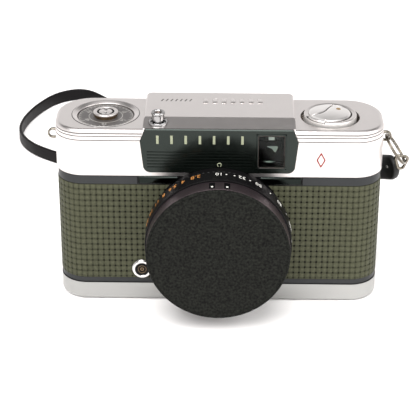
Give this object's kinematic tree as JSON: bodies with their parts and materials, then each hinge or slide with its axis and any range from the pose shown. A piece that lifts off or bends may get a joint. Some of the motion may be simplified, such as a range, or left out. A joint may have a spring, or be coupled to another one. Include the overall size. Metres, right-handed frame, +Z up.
{
  "type": "half frame camera",
  "caption": "Half frame film camera with capped lens, zone focus and film speed rings, frame counter, folding rewind crank, pull-down back and a wrist strap.",
  "frame": {"origin": "centre of the tripod socket's mouth, on the base plane below the lens axis", "axes": "+X along the body towards the rewind knob, +Y from the lens side to the back, +Z up"},
  "size_m": [0.1524, 0.2005, 0.0699],
  "materials": {
    "die_casting": "as cast, satin",
    "black_enamel": "semi gloss",
    "grained_covering": "matt, square grain",
    "satin_chrome": "satin",
    "bright_chrome": "polished",
    "dark_fascia": "gloss",
    "clear_glass": "clear",
    "steel": "brushed",
    "blued_steel": "matt",
    "brass": "satin",
    "black_anodised": "semi gloss",
    "cap_plastic": "fine grain",
    "felt": "matt",
    "strap_leather": "smooth",
    "tab_rubber": "satin",
    "cell_surface": "gloss",
    "nickel": "worn",
    "dial_grey": "matt",
    "dark_plastic": "satin"
  },
  "bodies": {
    "camera_body": {"body_casting": "die_casting", "lens_board": "black_enamel", "front_skin_left": "grained_covering", "front_skin_right": "grained_covering", "film_gate": "steel", "top_cover": "satin_chrome", "fascia": "dark_fascia", "finder_bezel": "nickel", "finder_window": "clear_glass", "finder_tunnel": "dark_plastic", "finder_objective": "clear_glass", "eyepiece_lens": "clear_glass", "eyepiece_ring": "black_anodised", "counter_cup": "bright_chrome", "release_collar": "bright_chrome", "release_spring": "steel", "rewind_cup": "steel", "lens_barrel": "black_anodised", "cell_window": "clear_glass", "light_cell": "cell_surface", "front_lens_cell": "black_anodised", "front_element": "clear_glass", "rear_element": "clear_glass", "shutter_case": "black_enamel", "meter_case": "dark_plastic", "sync_socket": "nickel", "strap_lugs": "nickel", "rewind_release_spring": "steel", "triangle_ring": "nickel", "strap_tab": "tab_rubber", "wrist_strap": "strap_leather"},
    "release": {"release_button": "bright_chrome"},
    "blade_left": {"shutter_blade_left": "blued_steel"},
    "blade_right": {"shutter_blade_right": "blued_steel"},
    "film_speed": {"speed_ring": "black_anodised"},
    "vane_left": {"aperture_blade_left": "blued_steel"},
    "vane_right": {"aperture_blade_right": "blued_steel"},
    "focus": {"focus_ring": "black_anodised"},
    "cap": {"lens_cap": "cap_plastic"},
    "advance": {"advance_wheel": "steel"},
    "spool": {"takeup_spool": "dark_plastic"},
    "film_sprocket": {"sprocket": "black_anodised"},
    "counter": {"counter_dial": "dial_grey", "counter_knob": "brass"},
    "rewind_drive": {"rewind_bush": "brass"},
    "rewind_head": {"rewind_knob": "bright_chrome", "rewind_shaft": "steel"},
    "crank": {"rewind_crank": "satin_chrome"},
    "back": {"base_plate": "satin_chrome", "back_cover": "die_casting", "back_skin": "grained_covering", "base_screws": "nickel", "tripod_bush": "brass", "light_seals": "felt"},
    "back_lock": {"lock_key": "bright_chrome"},
    "lock_handle": {"lock_bail": "nickel"},
    "film_pressure": {"pressure_plate": "blued_steel"},
    "rewind_button": {"rewind_release": "bright_chrome"},
    "needle": {"meter_needle": "steel"},
    "key_ring": {"split_ring": "nickel"}
  },
  "joints": [
    {"name": "release_press", "type": "slide", "parent": "camera_body", "child": "release", "axis": [0, 0, -1], "range_m": [0, 0.0022], "stiffness_N_per_m": 400, "springref_m": -0.001, "deforming": ["release_spring"]},
    {"name": "blade_left_swing", "type": "hinge", "parent": "camera_body", "child": "blade_left", "pos_m": [-0.0145, -0.0225, 0.0378], "axis": [0, 1, 0], "range_deg": [0, 35]},
    {"name": "blade_right_swing", "type": "hinge", "parent": "camera_body", "child": "blade_right", "pos_m": [0.0145, -0.0219, 0.0218], "axis": [0, 1, 0], "range_deg": [0, 35]},
    {"name": "film_speed_turn", "type": "hinge", "parent": "camera_body", "child": "film_speed", "pos_m": [0, -0.0247, 0.0298], "axis": [0, 1, 0], "range_deg": [-70, 110]},
    {"name": "vane_left_slide", "type": "slide", "parent": "camera_body", "child": "vane_left", "axis": [-1, 0, 0], "range_m": [-0.0016, 0.0025]},
    {"name": "vane_right_slide", "type": "slide", "parent": "camera_body", "child": "vane_right", "axis": [1, 0, 0], "range_m": [-0.0016, 0.0025]},
    {"name": "focus_turn", "type": "hinge", "parent": "camera_body", "child": "focus", "pos_m": [0, -0.032, 0.0298], "axis": [0, 1, 0], "range_deg": [-25, 25]},
    {"name": "cap_pull", "type": "slide", "parent": "camera_body", "child": "cap", "axis": [0, -1, 0], "range_m": [0, 0.04]},
    {"name": "advance_turn", "type": "hinge", "parent": "camera_body", "child": "advance", "pos_m": [-0.0385, 0.0015, 0.0547], "axis": [0, 0, 1], "continuous": true},
    {"name": "spool_turn", "type": "hinge", "parent": "camera_body", "child": "spool", "pos_m": [-0.0385, 0.0015, 0.028], "axis": [0, 0, 1], "continuous": true},
    {"name": "sprocket_turn", "type": "hinge", "parent": "camera_body", "child": "film_sprocket", "pos_m": [-0.0205, 0.00395, 0.028], "axis": [0, 0, 1], "continuous": true},
    {"name": "counter_turn", "type": "hinge", "parent": "camera_body", "child": "counter", "pos_m": [-0.0385, -0.0003, 0.0634], "axis": [0, 0, 1], "continuous": true},
    {"name": "rewind_turn", "type": "hinge", "parent": "camera_body", "child": "rewind_drive", "pos_m": [0.0372, -0.00135, 0.0599], "axis": [0, 0, 1], "continuous": true},
    {"name": "rewind_lift", "type": "slide", "parent": "rewind_drive", "child": "rewind_head", "axis": [0, 0, 1], "range_m": [0, 0.0075]},
    {"name": "crank_unfold", "type": "hinge", "parent": "rewind_head", "child": "crank", "pos_m": [0.04099, 0.00317, 0.0659], "axis": [-0.766, 0.6428, 0], "range_deg": [0, 135]},
    {"name": "back_slide", "type": "slide", "parent": "camera_body", "child": "back", "axis": [0, 0, -1], "range_m": [0, 0.06]},
    {"name": "lock_turn", "type": "hinge", "parent": "back", "child": "back_lock", "pos_m": [-0.039, 0, 0.002], "axis": [0, 0, 1], "range_deg": [0, 180]},
    {"name": "lock_handle_fold", "type": "hinge", "parent": "back_lock", "child": "lock_handle", "pos_m": [-0.0368, 0, 0.0008], "axis": [0, 1, 0], "range_deg": [0, 90]},
    {"name": "film_pressure_slide", "type": "slide", "parent": "back", "child": "film_pressure", "axis": [0, 1, 0], "range_m": [0, 0.0005], "stiffness_N_per_m": 1500, "springref_m": -0.0005},
    {"name": "rewind_button_press", "type": "slide", "parent": "camera_body", "child": "rewind_button", "axis": [0, 0, 1], "range_m": [0, 0.0012], "stiffness_N_per_m": 300, "springref_m": -0.001, "deforming": ["rewind_release_spring"]},
    {"name": "needle_turn", "type": "hinge", "parent": "camera_body", "child": "needle", "pos_m": [-0.004, 0.002, 0.0575], "axis": [0, 0, 1], "range_deg": [0, 35]},
    {"name": "key_ring_turn", "type": "hinge", "parent": "camera_body", "child": "key_ring", "pos_m": [0.05997, 0, 0.05246], "axis": [0.8211, 0, 0.5708], "continuous": true}
  ],
  "couplings": [
    {"joint": "blade_left_swing", "follows": "release_press", "rad_per_m": 277.6},
    {"joint": "blade_right_swing", "follows": "release_press", "rad_per_m": 277.6},
    {"joint": "vane_left_slide", "follows": "film_speed_turn", "m_per_rad": 0.0013},
    {"joint": "vane_right_slide", "follows": "film_speed_turn", "m_per_rad": 0.0013},
    {"joint": "spool_turn", "follows": "advance_turn", "ratio": 1},
    {"joint": "sprocket_turn", "follows": "advance_turn", "ratio": -1.3077},
    {"joint": "counter_turn", "follows": "advance_turn", "ratio": 0.0344}
  ]
}
